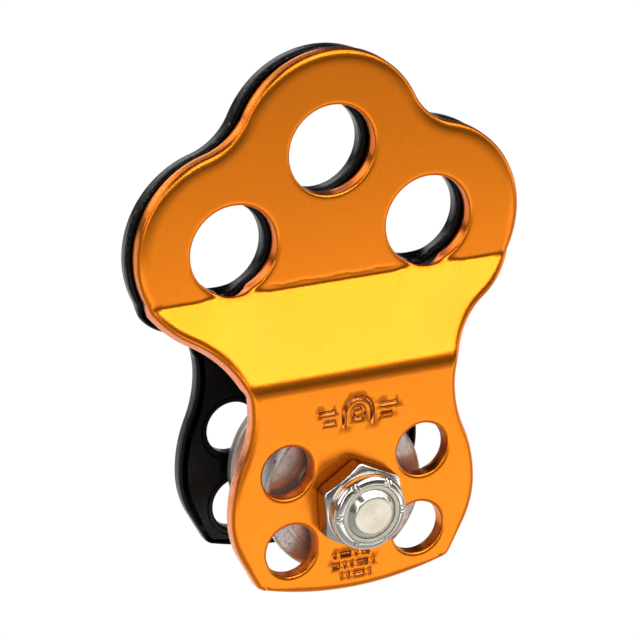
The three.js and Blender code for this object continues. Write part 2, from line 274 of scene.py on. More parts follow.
def blank_outline():
    """The flat blank's edge before bending, anticlockwise."""
    head = Vector((0, HEAD_HOLE_HEIGHT + STRETCH))
    wing = Vector((WING_HOLE_X, WING_HOLE_HEIGHT + STRETCH))
    shoulder = touching_centre(head, wing, LOBE_RADIUS, SHOULDER_RADIUS)
    reach = WAIST_X - wing.x
    drop = wing.y - WAIST_HEIGHT
    flank_radius = (reach ** 2 + drop ** 2 - LOBE_RADIUS ** 2) / (2 * (LOBE_RADIUS - reach))
    flank = Vector((WAIST_X + flank_radius, WAIST_HEIGHT))
    bulge = Vector((BULGE_X - BULGE_RADIUS, 0))
    reach = WAIST_X - bulge.x
    lower_radius = (reach ** 2 + WAIST_HEIGHT ** 2 - BULGE_RADIUS ** 2) / (2 * (BULGE_RADIUS - reach))
    lower = Vector((WAIST_X + lower_radius, WAIST_HEIGHT))
    hip = Vector((BULGE_X - HIP_RADIUS, 0))
    hip_end = -math.asin(HIP_DROP / HIP_RADIUS)
    bottom = Vector((0, BOTTOM_HEIGHT + BOTTOM_RADIUS))
    start = hip + HIP_RADIUS * Vector((math.cos(hip_end), math.sin(hip_end)))
    along = Vector((math.sin(hip_end), -math.cos(hip_end)))
    inward = (start - bottom).dot(along)
    travel = -inward + math.sqrt(inward ** 2 - (start - bottom).length_squared + BOTTOM_RADIUS ** 2)
    corner = start + along * travel
    corner_angle = heading(bottom, corner)
    next_angle = corner_angle - 3 * CORNER_RADIUS / BOTTOM_RADIUS
    after = bottom + BOTTOM_RADIUS * Vector((math.cos(next_angle), math.sin(next_angle)))
    rounding = rounded_corner(start, corner, after, CORNER_RADIUS)
    last_angle = heading(bottom, rounding[-1])
    half = joined(
        arc(head, LOBE_RADIUS, math.pi / 2, heading(head, shoulder)),
        arc(shoulder, SHOULDER_RADIUS, heading(shoulder, head), heading(shoulder, wing)),
        arc(wing, LOBE_RADIUS, heading(wing, shoulder), heading(wing, flank)),
        arc(flank, flank_radius, heading(flank, wing), math.pi),
        arc(lower, lower_radius, math.pi, heading(lower, bulge) + 2 * math.pi),
        arc(bulge, BULGE_RADIUS, heading(bulge, lower), 0),
        arc(hip, HIP_RADIUS, 0, hip_end),
        [start + along * t for t in np.arange(0.5, (rounding[0] - start).length, 0.5)],
        rounding,
        arc(bottom, BOTTOM_RADIUS, last_angle, -math.pi / 2),
    )
    left = [Vector((-p.x, p.y)) for p in half[1:-1]]
    return left + half[::-1]


def plate_holes():
    """Centres on the flat blank and radii of every hole in a side plate."""
    holes = [
        (0, 0, AXLE_HOLE_RADIUS),
        (0, HEAD_HOLE_HEIGHT + STRETCH, CARABINER_HOLE_RADIUS),
    ]
    for side in (-1, 1):
        holes.append((side * WING_HOLE_X, WING_HOLE_HEIGHT + STRETCH, CARABINER_HOLE_RADIUS))
        holes.append((side * UPPER_SMALL_HOLE_X, SMALL_HOLE_HEIGHT, SMALL_HOLE_RADIUS))
        holes.append((side * LOWER_SMALL_HOLE_X, -SMALL_HOLE_HEIGHT, SMALL_HOLE_RADIUS))
    return holes


def edge_rings(loop, inward, roll, rounding, break_depth, shares):
    """A loop's cross-section through the sheet as (x, height, depth, wall) rings, front to back.

    The front edge rolls over as an ellipse: roll is how far it reaches into the face. shares holds
    how much of that reach each point of the loop gets. wall is 1 on the outline's edge, which is
    cut bare, and 0.5 in the holes.
    """
    most = 1.0 if inward > 0 else 0.5
    steps = 8
    profile = [(roll + 0.5, 0.0, 0.0)]
    for k in range(steps + 1):
        a = math.pi / 2 * k / steps
        profile.append((roll * (1 - math.sin(a)), rounding * (1 - math.cos(a)), max(0.0, 2 * k / steps - 1)))
    profile.append((0.0, break_depth - 0.25, 1.0))
    profile.append((-0.05, break_depth, 1.0))
    profile.append((0.03, break_depth + 0.12, 1.0))
    back = 0.5
    for k in range(4, -1, -1):
        a = math.pi / 2 * k / 4
        profile.append((back * (1 - math.sin(a)), PLATE_THICKNESS - back * (1 - math.cos(a)), k / 4))
    profile.append((back + 0.45, PLATE_THICKNESS, 0.0))
    normals = loop_normals(loop)
    rings = []
    for inset, depth, wall in profile:
        rings.append([(p.x - inward * inset * share * n.x, p.y - inward * inset * share * n.y,
                       depth, most * wall)
                      for p, n, share in zip(loop, normals, shares)])
    return rings


def sheet_grid(fine_spots):
    """Interior points for the flat faces, denser along the bends and near the given spots."""
    heights = list(np.arange(BOTTOM_HEIGHT, HEAD_HOLE_HEIGHT + STRETCH + LOBE_RADIUS, 1.7))
    reach = WING_HOLE_X + LOBE_RADIUS
    points = []
    for row, height in enumerate(heights):
        shift = 0.85 * (row % 2)
        points.extend((x + shift, height) for x in np.arange(-reach, reach, 1.7))
    outer = LOWER_BEND_RADIUS + PLATE_THICKNESS
    low = LOWER_BEND_HEIGHT - outer * math.tan(BEND_ANGLE / 2)
    high = LOWER_BEND_HEIGHT + SLOPE_LENGTH
    for start, end in ((low - 0.6, 2 * LOWER_BEND_HEIGHT - low + 0.6), (high - 1.2, high + 1.9)):
        points = [p for p in points if p[1] < start - 0.35 or p[1] > end + 0.35]
        for height in np.arange(start, end + 0.1, 0.2):
            points.extend((x, height) for x in np.arange(-reach, reach, 1.1))
    for x, height, half_width, half_height in fine_spots:
        points = [p for p in points if abs(p[0] - x) > half_width or abs(p[1] - height) > half_height]
        for across in np.arange(-half_width + 0.2, half_width - 0.1, 0.4):
            points.extend((x + across, height + up) for up in np.arange(-half_height + 0.1, half_height, 0.2))
    return np.array(points)


def flat_face(outer, holes, extra, margin):
    """Triangles of a flat region inside one loop and outside others, with extra points inside."""
    keep = inside(extra, outer) if len(extra) else np.zeros(0, bool)
    for loop in holes:
        keep &= ~inside(extra, loop)
    free = extra[keep]
    edge_points = np.array([(p.x, p.y) for loop in [outer, *holes] for p in loop])
    if len(free):
        clear = [np.min(np.hypot(*(edge_points - p).T)) > margin for p in free]
        free = free[np.array(clear)]
    points = [Vector(p) for p in edge_points]
    edges = []
    start = 0
    for loop in [outer, *holes]:
        edges.extend((start + i, start + (i + 1) % len(loop)) for i in range(len(loop)))
        start += len(loop)
    points.extend(Vector(p) for p in free)
    flat, _, triangles, _, _, _ = delaunay_2d_cdt(points, edges, [], 0, 1e-6, False)
    middles = np.array([sum((flat[i] for i in t), Vector((0, 0))) / 3 for t in triangles])
    wanted = inside(middles, outer)
    for loop in holes:
        wanted &= ~inside(middles, loop)
    return [(p.x, p.y) for p in flat], [tuple(t) for t, w in zip(triangles, wanted) if w]


def smooth_step(value):
    value = min(1.0, max(0.0, value))
    return value * value * (3 - 2 * value)


def drawn_up(x, height):
    """How far the upper bend is drawn up where it runs into the edge of a wing hole."""
    rise = smooth_step((height - LOWER_BEND_HEIGHT - 1) / (SLOPE_LENGTH - 1))
    return sum(DRAW_UP * rise * smooth_step((DRAW_UP_REACH - abs(x - side * WING_HOLE_X)) / 3.0)
               for side in (-1, 1))


def press_line(x, height):
    """Depth of the thin wavy line that the press leaves just above the upper bend."""
    wave = 0.12 * math.sin(0.9 * x) + 0.08 * math.sin(2.3 * x + 1.0)
    across = height - LOWER_BEND_HEIGHT - BEND_RUN - 0.95 - wave
    return 0.05 * math.exp(-(across / 0.2) ** 2) * smooth_step((13.0 - abs(x)) / 4)


def bend(x, blank_height, depth):
    """A point of the flat blank on the bent plate: x, distance in from the outer face, height."""
    lift = drawn_up(x, blank_height)
    height = blank_height - lift
    outer = LOWER_BEND_RADIUS + PLATE_THICKNESS
    low_tail = outer * math.tan(BEND_ANGLE / 2)
    high_tail = UPPER_BEND_RADIUS * math.tan(BEND_ANGLE / 2)
    top = LOWER_BEND_HEIGHT + SLOPE_LENGTH
    if height < LOWER_BEND_HEIGHT - low_tail:
        return x, depth, blank_height
    if height < LOWER_BEND_HEIGHT + low_tail:
        a = BEND_ANGLE * (height - LOWER_BEND_HEIGHT + low_tail) / (2 * low_tail)
        y = outer - (outer - depth) * math.cos(a)
        z = LOWER_BEND_HEIGHT - low_tail + (outer - depth) * math.sin(a)
    elif height < top - high_tail:
        run = height - LOWER_BEND_HEIGHT
        y = run * math.sin(BEND_ANGLE) + depth * math.cos(BEND_ANGLE)
        z = LOWER_BEND_HEIGHT + run * math.cos(BEND_ANGLE) - depth * math.sin(BEND_ANGLE)
    elif height < top + high_tail:
        a = BEND_ANGLE * (top + high_tail - height) / (2 * high_tail)
        y = JOGGLE - UPPER_BEND_RADIUS + (UPPER_BEND_RADIUS + depth) * math.cos(a)
        z = LOWER_BEND_HEIGHT + BEND_RUN + high_tail - (UPPER_BEND_RADIUS + depth) * math.sin(a)
    else:
        y = JOGGLE + depth
        z = height - STRETCH
        if depth == 0:
            y += press_line(x, z)
    return x, y, z + lift


def bar(x, height, half_width, half_height, radius):
    """A stamped bar with rounded ends, anticlockwise."""
    corners = [Vector((x + i * half_width, height + k * half_height))
               for i, k in ((1, -1), (1, 1), (-1, 1), (-1, -1))]
    return joined(*[rounded_corner(corners[i - 1], corners[i], corners[(i + 1) % 4], radius)
                    for i in range(4)])


def rope_mark(x, height):
    """Stamped mark: a rope over a wheel. Each entry is a closed loop and the islands inside it."""
    centre = Vector((x, height))
    rope = joined(
        arc(centre, 3.1, 0, math.pi, 0.25),
        [centre + Vector((-3.1, -2.6)), centre + Vector((-2.2, -2.6))],
        arc(centre, 2.2, math.pi, 0, 0.25),
        [centre + Vector((2.2, -2.6)), centre + Vector((3.1, -2.6))],
    )
    wheel = (circle(x, height, 1.55, 36), [circle(x, height, 0.7, 20)])
    marks = [(rope, []), wheel]
    for side in (-1, 1):
        marks.append((bar(x + side * 5.8, height + 0.8, 1.7, 0.45, 0.4), []))
        marks.append((bar(x + side * 5.3, height - 1.1, 1.2, 0.45, 0.4), []))
    return marks


def rating_bars(x, height):
    """Stamped rows of short upright ticks in place of a rating, three rows one over the other."""
    marks = []
    pattern = ((0.34, 1.1, 0.34, 0.8), (0.8, 0.34, 0.34, 1.1, 0.34), (0.34, 0.34, 1.1, 0.34))
    for row, lengths in enumerate(pattern):
        across = x - sum(lengths) - 0.3 * (len(lengths) - 1) + 0.4 * (row - 1)
        for half_width in lengths:
            marks.append((bar(across + half_width, height - 2.0 * row, half_width, 0.55, 0.25), []))
            across += 2 * half_width + 0.6
    return marks


def plate_mesh(name, marks, material):
    """A side plate, bent and stamped, with its outer face at y = 0 beside the axle."""
    outline = blank_outline()
    vertices = []
    walls = []
    faces = []

    def add(points, shapes):
        first = len(vertices)
        for x, height, depth, wall in points:
            vertices.append(bend(x, height, depth))
            walls.append(wall)
        faces.extend(tuple(first + i for i in shape) for shape in shapes)

    corner = min(outline, key=lambda p: p.y - 0.6 * p.x)
    away = [(Vector((abs(p.x), p.y)) - corner).length for p in outline]
    crease = LOWER_BEND_HEIGHT + SLOPE_LENGTH
    shares = [0.36 + 0.2 * smooth_step((d - 1.5) / 7) + 0.44 * smooth_step((p.y - crease + 1) / 7)
              for d, p in zip(away, outline)]
    loops = [(outline, 1, 2.3, 0.95, 2.3, shares)]
    for x, height, radius in plate_holes():
        loop = circle(x, height, radius, 16 * round(radius))
        loops.append((loop, -1, 0.7, 0.5, 2.2, [1.0] * len(loop)))
    rims = []
    for loop, inward, roll, rounding, break_depth, shares in loops:
        rings = edge_rings(loop, inward, roll, rounding, break_depth, shares)
        add([point for ring in rings for point in ring], bands(rings, False))
        rims.append([Vector(p[:2]) for p in rings[0]])
    spots = [(side * WING_HOLE_X, LOWER_BEND_HEIGHT + SLOPE_LENGTH + 1.2, 7.4, 3.2) for side in (-1, 1)]
    grid = sheet_grid(spots)
    cut = [loop for loop, _ in marks]
    islands = [island for _, inner in marks for island in inner]
    points, triangles = flat_face(rims[0], rims[1:] + cut, grid, 0.3)
    add([(x, height, 0.0, 0.0) for x, height in points], triangles)
    for island in islands:
        points, triangles = flat_face(island, [], grid, 0.3)
        add([(x, height, 0.0, 0.0) for x, height in points], triangles)
    points, triangles = flat_face(rims[0], rims[1:], grid, 0.3)
    add([(x, height, PLATE_THICKNESS, 0.0) for x, height in points], triangles)
    for loop, inner in marks:
        floors = []
        for edge, inward in [(loop, 1)] + [(island, -1) for island in inner]:
            normals = loop_normals(edge)
            rings = [[(p.x - inward * inset * n.x, p.y - inward * inset * n.y, depth, wall)
                      for p, n in zip(edge, normals)]
                     # A wall of 2.0 marks the stamped walls, which the orange finish darkens as painted
                     # shade.
                     for inset, depth, wall in ((0.0, 0.0, 0.0), (0.04, 0.03, 2.0), (0.13, MARK_DEPTH, 2.0))]
            add([point for ring in rings for point in ring], bands(rings, False))
            floors.append([Vector(p[:2]) for p in rings[-1]])
        points, triangles = flat_face(floors[0], floors[1:], np.zeros((0, 2)), 0.3)
        add([(x, height, MARK_DEPTH, 0.0) for x, height in points], triangles)
    return mesh_object(name, vertices, faces, walls, material)


# --- Turned and hexagonal pieces ---------------------------------------------------------------

def softened(corners, radius):
    """A closed profile of (radius, y) corners with every corner rounded and held by near points."""
    points = [Vector(c) for c in corners]
    run = []
    for i, corner in enumerate(points):
        before = points[i - 1]
        after = points[(i + 1) % len(points)]
        size = min(radius, 0.3 * (corner - before).length, 0.3 * (after - corner).length)
        rounded = rounded_corner(before, corner, after, size)
        lead = min(0.25, 0.3 * (rounded[0] - before).length)
        trail = min(0.25, 0.3 * (after - rounded[-1]).length)
        run.append([rounded[0] + (before - corner).normalized() * lead])
        run.append(rounded)
        run.append([rounded[-1] + (after - corner).normalized() * trail])
    return joined(*run)


def turned_tree():
    """Node tree that turns a closed profile about the axle: radius along X, place along Y."""
    tree = bpy.data.node_groups.new("Turned piece", "GeometryNodeTree")
    tree.is_modifier = True
    face = tree.interface
    face.new_socket("Profile", in_out="INPUT", socket_type="NodeSocketGeometry")
    segments = face.new_socket("Segments", in_out="INPUT", socket_type="NodeSocketInt")
    segments.default_value = 144
    segments.min_value = 12
    height = face.new_socket("Axle Height", in_out="INPUT", socket_type="NodeSocketFloat")
    height.subtype = "DISTANCE"
    face.new_socket("Material", in_out="INPUT", socket_type="NodeSocketMaterial")
    face.new_socket("Piece", in_out="OUTPUT", socket_type="NodeSocketGeometry")

    node, maths = node_tools(tree)
    given = node("NodeGroupInput").outputs
    domain = node("GeometryNodeAttributeDomainSize", {0: given["Profile"]}, component="MESH")
    count = domain.outputs["Point Count"]
    grid = node("GeometryNodeMeshGrid", {
        "Vertices X": maths("ADD", count, 1.0), "Vertices Y": maths("ADD", given["Segments"], 1.0)})
    position = node("GeometryNodeInputPosition").outputs[0]
    place = node("ShaderNodeSeparateXYZ", {0: position}).outputs
    along = maths("MULTIPLY", maths("ADD", place["X"], 0.5), count)
    index = maths("FLOORED_MODULO", maths("ROUND", along), count)
    feeds = {"Geometry": given["Profile"], "Value": position, "Index": index}
    sample = node("GeometryNodeSampleIndex", feeds, data_type="FLOAT_VECTOR", domain="POINT")
    profile = node("ShaderNodeSeparateXYZ", {0: sample.outputs[0]}).outputs
    angle = maths("MULTIPLY", maths("ADD", place["Y"], 0.5), 2 * math.pi)
    lifted = maths("MULTIPLY", profile["X"], maths("SINE", angle))
    moved = node("ShaderNodeCombineXYZ", {
        "X": maths("MULTIPLY", profile["X"], maths("COSINE", angle)),
        "Y": profile["Y"],
        "Z": maths("ADD", lifted, given["Axle Height"])})
    wrap = node("GeometryNodeSetPosition", {"Geometry": grid.outputs["Mesh"], "Position": moved.outputs[0]})
    weld = node("GeometryNodeMergeByDistance", {"Geometry": wrap.outputs[0], "Distance": 1e-7})
    real = node("GeometryNodeRealizeInstances", {0: weld.outputs[0]})
    coat = node("GeometryNodeSetMaterial", {"Geometry": real.outputs[0], "Material": given["Material"]})
    node("NodeGroupOutput", {"Piece": coat.outputs[0]})
    return tree


def turned_piece(name, profile, material, segments=144):
    """A round piece: the node tree run on a profile, then kept as a plain mesh."""
    tree = bpy.data.node_groups.get("Turned piece") or turned_tree()
    line = bpy.data.meshes.new(name + " profile")
    line.from_pydata([(p.x * MM, p.y * MM, 0) for p in profile], [], [])
    source = bpy.data.objects.new(name + " profile", line)
    bpy.context.scene.collection.objects.link(source)
    modifier = source.modifiers.new("Turned", "NODES")
    modifier.node_group = tree
    values = {"Segments": segments, "Axle Height": AXLE.z, "Material": material}
    for item in tree.interface.items_tree:
        if item.item_type == "SOCKET" and item.in_out == "INPUT" and item.name in values:
            modifier[item.identifier] = values[item.name]
    evaluated = source.evaluated_get(bpy.context.evaluated_depsgraph_get())
    mesh = bpy.data.meshes.new_from_object(evaluated)
    mesh.name = name
    bpy.data.objects.remove(source)
    bpy.data.meshes.remove(line)
    if not mesh.polygons:
        raise RuntimeError(f"{name} came out empty")
    return shown(name, mesh)


def hexagon_radii(angles, turn):
    """Distance from the axle to a hexagon's side at each angle, its corners slightly cut."""
    off = np.mod(angles - turn, math.pi / 3) - math.pi / 6
    return np.minimum(ACROSS_FLATS / 2 / np.cos(off), ACROSS_FLATS / math.sqrt(3) - CORNER_CUT)


def ringed_piece(name, rings, material, closed):
    """A piece from rings of (radii, distances along Y), one value or one for every angle.

    A third value of 1 marks the flats of a hexagon, where the steel paints a dark reflection.
    """
    count = 360
    angles = np.arange(count) * 2 * math.pi / count
    vertices = []
    walls = []
    for radii, places, *wall in rings:
        radii = np.broadcast_to(radii, count)
        places = np.broadcast_to(places, count)
        walls.extend((wall or [0.0]) * count)
        for a, r, y in zip(angles, radii, places):
            vertices.append((r * math.cos(a), y, r * math.sin(a) + AXLE.z / MM))
    return mesh_object(name, vertices, bands([[None] * count] * len(rings), closed), walls, material)


def hexagon_rings(angles, turn, low, high):
    """Rings (radius, height) up a hexagon's side and over its chamfer, heights measured outwards."""
    radii = hexagon_radii(angles, turn)
    lip = high - (radii - CHAMFER_FACE_RADIUS) * CHAMFER_SLOPE
    # A third value of 1.0 marks the flats, which the steel colours with a painted dark reflection.
    rings = [(radii - 0.5, low), (radii - 0.12, low), (radii - 0.03, low + 0.03), (radii, low + 0.12, 1.0)]
    rings += [(radii, place, 1.0) for place in (low + 0.3, (low + lip) / 2, lip - 0.25, lip - 0.06)]
    rings.append((radii - 0.06, lip + 0.03))
    for share in (0.25, 0.6, 0.9):
        r = radii + (CHAMFER_FACE_RADIUS - radii) * share
        rings.append((r, high - (r - CHAMFER_FACE_RADIUS) * CHAMFER_SLOPE))
    return rings


def stake_dents(angles, radius):
    """How far the six stakes press the nut's crimped lip down at a given radius."""
    total = np.zeros(len(angles))
    for k in range(6):
        off = np.mod(angles - k * math.pi / 3 + math.pi, 2 * math.pi) - math.pi
        across = off * radius
        groove = np.exp(-((np.abs(across) - 0.42) / 0.16) ** 2)
        ridge = np.exp(-(across / 0.2) ** 2)
        total += groove - 0.45 * ridge
    reach = math.exp(-((radius - 5.95) / 0.5) ** 2)
    return 0.36 * total * reach


def lock_nut_rings():
    """Lock nut from the plate outwards: hexagon, neck, crimped collar, lip and inside."""
    angles = np.arange(360) * 2 * math.pi / 360
    base = SEAT_GAP
    top = SEAT_GAP + NUT_HEX_HEIGHT
    rings = hexagon_rings(angles, CORNER_TURN, base, top)
    neck = NUT_NECK_RADIUS
    rings += [(CHAMFER_FACE_RADIUS - 0.1, top + 0.005), (neck + 0.12, top + 0.01)]
    for a in np.linspace(math.pi / 8, math.pi / 2, 4):
        rings.append((neck + 0.12 * (1 - math.sin(a)), top + 0.13 - 0.12 * math.cos(a)))
    dome_base = 5.15
    rings += [(neck + 0.02, top + 0.3), (NUT_COLLAR_RADIUS - 0.1, top + 0.45),
              (NUT_COLLAR_RADIUS, top + 0.58), (NUT_COLLAR_RADIUS, dome_base - 0.3)]
    for k in range(13):
        a = math.pi / 2 * k / 12
        radius = NUT_RIM_RADIUS + 0.12 + (NUT_COLLAR_RADIUS - NUT_RIM_RADIUS - 0.12) * math.cos(a)
        height = dome_base + (NUT_HEIGHT - dome_base) * math.sin(a)
        rings.append((radius, height - stake_dents(angles, radius)))
    pocket = NUT_COLLAR_RADIUS - 0.97
    bore = BOLT_RADIUS + SEAT_GAP
    rings += [
        (NUT_RIM_RADIUS + 0.03, NUT_HEIGHT - 0.04), (NUT_RIM_RADIUS, NUT_HEIGHT - 0.14),
        (NUT_RIM_RADIUS, NUT_HEIGHT - 0.5), (pocket, NUT_HEIGHT - 0.52), (pocket, NUT_HEIGHT - 3.4),
        (bore, NUT_HEIGHT - 3.45), (bore, base + 0.4), (bore + 0.35, base),
    ]
    return [(radius, -(OUTER_FACE_Y + height), *wall) for radius, height, *wall in rings]


def axle_bolt_rings():
    """Axle bolt from the middle of its turned end, along the shank, to the middle of its head."""
    angles = np.arange(360) * 2 * math.pi / 360
    end = -(OUTER_FACE_Y + BOLT_END_REACH)
    chamfer = BOLT_RADIUS - BOLT_END_RADIUS
    rings = [(0.0, end + 0.02), (0.1, end + 0.02), (0.16, end + 0.002), (0.22, end)]
    rings += [(radius, end) for radius in np.linspace(0.4, BOLT_END_RADIUS - 0.3, 8)]
    head = OUTER_FACE_Y + SEAT_GAP
    rings += [
        (BOLT_END_RADIUS - 0.12, end + 0.005), (BOLT_END_RADIUS + 0.02, end + 0.07),
        (BOLT_END_RADIUS + 0.2, end + 0.21), (BOLT_RADIUS - 0.25, end + chamfer - 0.24),
        (BOLT_RADIUS - 0.05, end + chamfer - 0.03), (BOLT_RADIUS, end + chamfer + 0.1),
        (BOLT_RADIUS, end + 2.5), (BOLT_RADIUS, 0.0), (BOLT_RADIUS, head - 0.05), (BOLT_RADIUS + 0.1, head),
    ]
    for radius, height, *wall in hexagon_rings(angles, math.radians(10), 0.0, BOLT_HEAD_HEIGHT):
        rings.append((radius, head + height, *wall))
    top = head + BOLT_HEAD_HEIGHT
    dish = ((6.7, 0.0), (4.6, 0.0), (4.4, 0.03), (4.1, 0.2), (3.9, 0.25), (2.0, 0.25), (0.0, 0.25))
    for radius, drop in dish:
        rings.append((radius, top - drop))
    return rings


# --- Materials ---------------------------------------------------------------------------------

def shader_group(name, inputs, outputs, fill):
    """A shader group with named number inputs and outputs, filled in when it is first asked for."""
    tree = bpy.data.node_groups.get(name)
    if tree:
        return tree
    tree = bpy.data.node_groups.new(name, "ShaderNodeTree")
    for label, value in inputs.items():
        tree.interface.new_socket(label, in_out="INPUT", socket_type="NodeSocketFloat").default_value = value
    for label in outputs:
        tree.interface.new_socket(label, in_out="OUTPUT", socket_type="NodeSocketFloat")
    node, maths = node_tools(tree)
    given = node("NodeGroupInput").outputs
    place = node("ShaderNodeTexCoord").outputs["Object"]
    found = fill(node, maths, given, place)
    node("NodeGroupOutput", dict(zip(outputs, found)))
    return tree


def grain_group():
    """Fine surface grain: an even speckle, streaks along the height of the sheet, and broad clouds."""
    def fill(node, maths, given, place):
        scale = node("ShaderNodeCombineXYZ", {"X": 1.0, "Y": 1.0, "Z": given["Streak"]})
        feeds = {"Vector": place, "Scale": scale.outputs[0]}
        stretched = node("ShaderNodeMapping", feeds, vector_type="POINT")
        noises = (
            {"Vector": place, "Scale": given["Fineness"], "Detail": 3.0},
            {"Vector": stretched.outputs[0], "Scale": given["Fineness"], "Detail": 2.0},
            {"Vector": place, "Scale": 55.0, "Detail": 2.0},
        )
        return [node("ShaderNodeTexNoise", feeds).outputs[0] for feeds in noises]

    inputs = {"Fineness": 1800.0, "Streak": 0.12}
    return shader_group("Surface grain", inputs, ("Speckle", "Streaks", "Cloud"), fill)


def turning_group():
    """Fine circular lines round the axle, as a lathe leaves them, and a painted sheen fanning across them."""
    def fill(node, maths, given, place):
        place = node("ShaderNodeSeparateXYZ", {0: place}).outputs
        up = maths("SUBTRACT", place["Z"], given["Axle Height"])
        square = maths("ADD", maths("MULTIPLY", place["X"], place["X"]), maths("MULTIPLY", up, up))
        along = maths("ADD", maths("SQRT", square), maths("MULTIPLY", place["Y"], 0.7))
        feeds = {"W": along, "Scale": given["Fineness"], "Detail": 2.0}
        lines = node("ShaderNodeTexNoise", feeds, noise_dimensions="1D").outputs[0]
        angle = maths("ARCTAN2", up, place["X"])
        fan = maths("COSINE", maths("MULTIPLY_ADD", angle, 2.0, -0.9))
        return lines, maths("MULTIPLY_ADD", fan, 0.5, 0.5)

    return shader_group("Turning lines", {"Axle Height": 0.0, "Fineness": 3500.0}, ("Lines", "Fan"), fill)


def pit_group():
    """Sparse small pits and scuffs left by tumbling."""
    def fill(node, maths, given, place):
        cells = node("ShaderNodeTexVoronoi", {"Vector": place, "Scale": given["Fineness"]}).outputs
        shade = node("ShaderNodeSeparateColor", {0: cells["Color"]}).outputs
        chosen = maths("GREATER_THAN", shade[0], 0.45)
        near = maths("LESS_THAN", cells["Distance"], maths("MULTIPLY", given["Size"], shade[1]))
        return [maths("MULTIPLY", chosen, near)]

    return shader_group("Tumbling pits", {"Fineness": 420.0, "Size": 0.16}, ("Pits",), fill)


class Finish:
    """A Principled material under construction, with short ways to mix colours and masks."""

    def __init__(self, name, metallic, roughness, coat=0.0):
        self.material = bpy.data.materials.new(name)
        self.material.use_nodes = True
        self.tree = self.material.node_tree
        self.node, self.maths = node_tools(self.tree)
        self.shader = next(n for n in self.tree.nodes if n.type == "BSDF_PRINCIPLED")
        self.shader.inputs["Metallic"].default_value = metallic
        self.shader.inputs["Roughness"].default_value = roughness
        self.shader.inputs["Coat Weight"].default_value = coat
        self.shader.inputs["Coat Roughness"].default_value = 0.18

    def group(self, tree, **values):
        feeds = {key.replace("_", " "): value for key, value in values.items()}
        return self.node("ShaderNodeGroup", feeds, node_tree=tree).outputs

    def ramp(self, value, low, high, to_low=0.0, to_high=1.0):
        feeds = {"Value": value, "From Min": low, "From Max": high, "To Min": to_low, "To Max": to_high}
        return self.node("ShaderNodeMapRange", feeds).outputs[0]

    def mix(self, mask, first, second):
        return self.node("ShaderNodeMix", {"Factor": mask, 6: first, 7: second}, data_type="RGBA").outputs[2]

    def place(self):
        """The separate Object coordinates."""
        coordinates = self.node("ShaderNodeTexCoord").outputs["Object"]
        return self.node("ShaderNodeSeparateXYZ", {0: coordinates}).outputs

    def wall(self):
        return self.node("ShaderNodeAttribute", attribute_name="wall").outputs["Fac"]

    def finish(self, colour, roughness=None, height=None, strength=0.2, distance=0.00004):
        self.tree.links.new(colour, self.shader.inputs["Base Color"])
        if roughness:
            self.tree.links.new(roughness, self.shader.inputs["Roughness"])
        if height:
            feeds = {"Strength": strength, "Distance": distance, "Height": height}
            self.tree.links.new(self.node("ShaderNodeBump", feeds).outputs[0], self.shader.inputs["Normal"])
        return self.material


def anodised_orange(looks):
    """Satin orange dye, cut bare and paler on the outline's edge, with painted shade darkening the walls of
    the stamped marks.
    """
    made = Finish("Anodised orange", 1.0, looks.orange_roughness, 0.12)
    grain = made.group(grain_group(), Fineness=4200.0, Streak=0.12)
    bright = (*looks.orange, 1.0)
    dull = linear(240, 126, 20)
    colour = made.mix(made.ramp(grain["Streaks"], 0.35, 0.7, 0.0, 0.35), bright, dull)
    colour = made.mix(made.ramp(grain["Cloud"], 0.3, 0.8, 0.0, 0.3), colour, dull)
    wall = made.wall()
    low = made.ramp(made.place()["Z"], -0.014, -0.028)
    colour = made.mix(made.ramp(wall, 0.2, 0.5, 0.0, 0.6), colour, linear(205, 92, 18))
    cut = made.maths("MULTIPLY", made.ramp(wall, 0.6, 1.0), made.ramp(wall, 1.2, 1.0))
    pale = made.mix(low, linear(244, 142, 36), linear(255, 170, 126))
    deep = made.mix(low, linear(205, 98, 20), linear(226, 126, 80))
    cut_colour = made.mix(made.ramp(grain["Streaks"], 0.35, 0.65), pale, deep)
    colour = made.mix(cut, colour, cut_colour)
    # Painted shade: the walls of the stamped marks (wall 2.0) are darkened to dark brown.
    colour = made.mix(made.ramp(wall, 1.2, 1.9, 0.0, 0.75), colour, linear(120, 52, 10))
    roughness = made.ramp(grain["Speckle"], 0.3, 0.7,
                          looks.orange_roughness - 0.01, looks.orange_roughness + 0.02)
    return made.finish(colour, roughness, grain["Streaks"], 0.05, 0.000005)


def anodised_black(looks):
    """Satin black dye; the edge walls are painted near black as shade, and grey streaks on them are partly
    scuffs and partly painted highlight.
    """
    made = Finish("Anodised black", 0.8, 0.3, 0.05)
    grain = made.group(grain_group(), Fineness=2600.0, Streak=0.2)
    deep = (*looks.black, 1.0)
    colour = made.mix(made.ramp(grain["Speckle"], 0.4, 0.75), deep, linear(26, 26, 28))
    wall = made.wall()
    # Painted shade: the edge walls are coloured near black.
    colour = made.mix(made.ramp(wall, 0.1, 0.5), colour, linear(5, 5, 6))
    # Grey streaks on the edge walls: partly scuffs, partly painted highlight.
    scuffs_and_glints = made.maths("MULTIPLY", made.ramp(grain["Streaks"], 0.58, 0.72), made.ramp(wall, 0.1, 0.5))
    colour = made.mix(scuffs_and_glints, colour, linear(78, 78, 82))
    roughness = made.ramp(grain["Cloud"], 0.3, 0.7, 0.24, 0.38)
    height = made.maths("MULTIPLY", grain["Streaks"], made.maths("MULTIPLY_ADD", wall, 2.0, 0.4))
    return made.finish(colour, roughness, height, 0.35, 0.00005)


